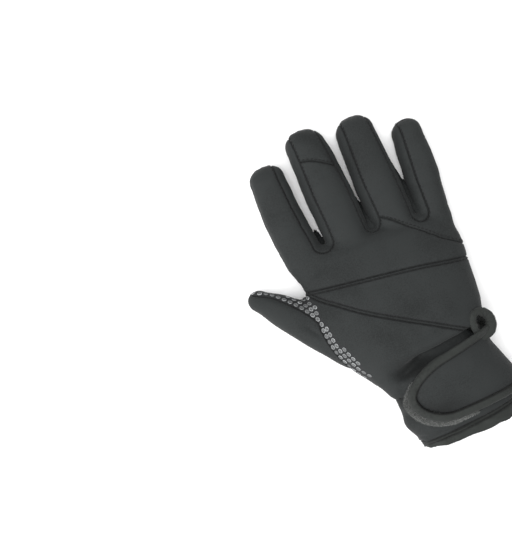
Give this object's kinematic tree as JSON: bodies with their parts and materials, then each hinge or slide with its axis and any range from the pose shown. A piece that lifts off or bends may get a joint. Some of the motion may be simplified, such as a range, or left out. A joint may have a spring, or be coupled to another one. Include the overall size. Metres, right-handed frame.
{
  "type": "fishing glove",
  "caption": "Right-hand softshell fishing glove, hollow for the hand, with slanting back seams, printed grip palm, bound cuff and a hook-and-loop wrist strap.",
  "frame": {"origin": "under the middle of the palm, on the surface that the glove lies on", "axes": "+Y towards the fingertips, +X towards the little finger, +Z out of the back of the hand"},
  "size_m": [0.1555, 0.2324, 0.0406],
  "materials": {
    "softshell": "matt, smooth stretch softshell",
    "printed_palm": "matt stretch fabric with raised pale silicone cells",
    "binding": "matt, slightly brushed binding",
    "hook_felt": "fuzzy hook tape"
  },
  "bodies": {
    "root": {"fourchette_index_middle": "softshell", "fourchette_middle_ring": "softshell", "fourchette_ring_little": "softshell", "thumb_panel": "softshell", "middle_tip_panel": "softshell", "outer_fingers_panel": "softshell", "inner_fingers_panel": "softshell", "knuckle_band": "softshell", "wrist_panel": "softshell", "palm": "printed_palm", "cuff": "softshell", "hem": "binding", "strap_hook_tape": "hook_felt", "strap_panel": "softshell", "strap_edge": "binding", "wrist_loop": "binding"}
  },
  "joints": []
}
